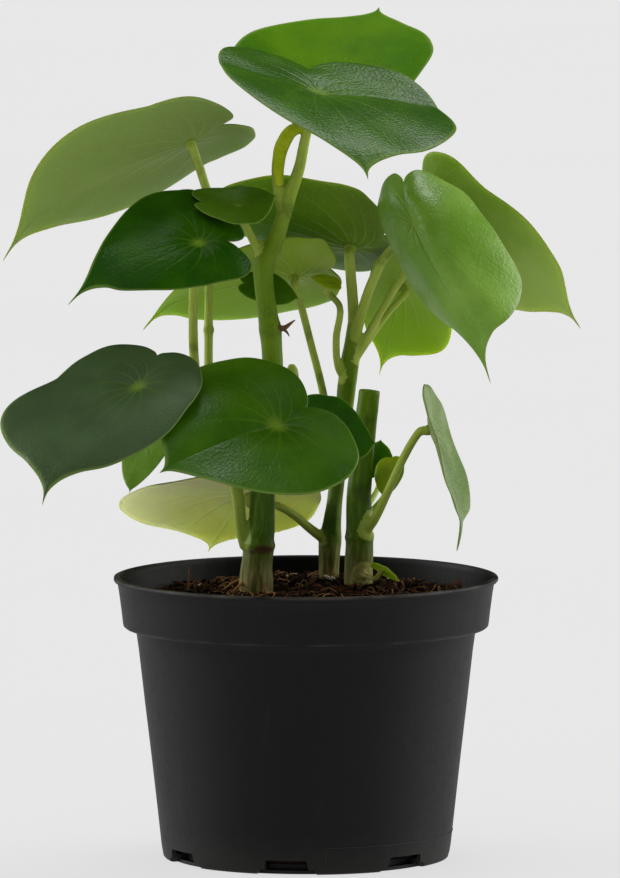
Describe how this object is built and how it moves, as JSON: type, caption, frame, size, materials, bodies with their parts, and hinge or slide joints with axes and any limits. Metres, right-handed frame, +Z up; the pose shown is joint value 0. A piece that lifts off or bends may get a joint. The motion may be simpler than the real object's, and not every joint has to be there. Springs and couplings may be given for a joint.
{
  "type": "potted peperomia",
  "caption": "House plant with large glossy drop-shaped leaves on long stalks, growing from stout green stems in a round black plastic nursery pot",
  "frame": {"origin": "centre of the pot's base, on the surface the pot stands on", "axes": "+Z up, +X to the right and -Y toward the plant's front"},
  "size_m": [0.181, 0.12, 0.263],
  "materials": {
    "pot_plastic": "matte black moulded polypropylene",
    "soil": "dark fibrous peat",
    "stem": "smooth green stem with pale streaks",
    "leaf": "glossy dark green on top, pale matte green underneath",
    "young_leaf": "satin light green"
  },
  "bodies": {
    "root": {"nursery_pot": "pot_plastic", "potting_soil": "soil", "stem_left": "stem", "stem_middle": "stem", "stem_right": "stem", "leaf_crown_front": "leaf", "leaf_crown_back": "leaf", "leaf_upper_left": "leaf", "leaf_mid_left": "leaf", "leaf_small_left": "young_leaf", "leaf_inner_back": "leaf", "leaf_back_left": "leaf", "leaf_right_front": "leaf", "leaf_right_back": "leaf", "leaf_right_under": "leaf", "leaf_low_left": "leaf", "leaf_low_front": "leaf", "leaf_low_back": "leaf", "leaf_right_low": "leaf", "leaf_tucked_low": "young_leaf", "leaf_behind_stem": "young_leaf", "leaf_tucked_centre": "young_leaf", "leaf_young_dark": "young_leaf", "leaf_young_bright": "young_leaf", "leaf_bract": "young_leaf", "leaf_sprout": "young_leaf"}
  },
  "joints": []
}
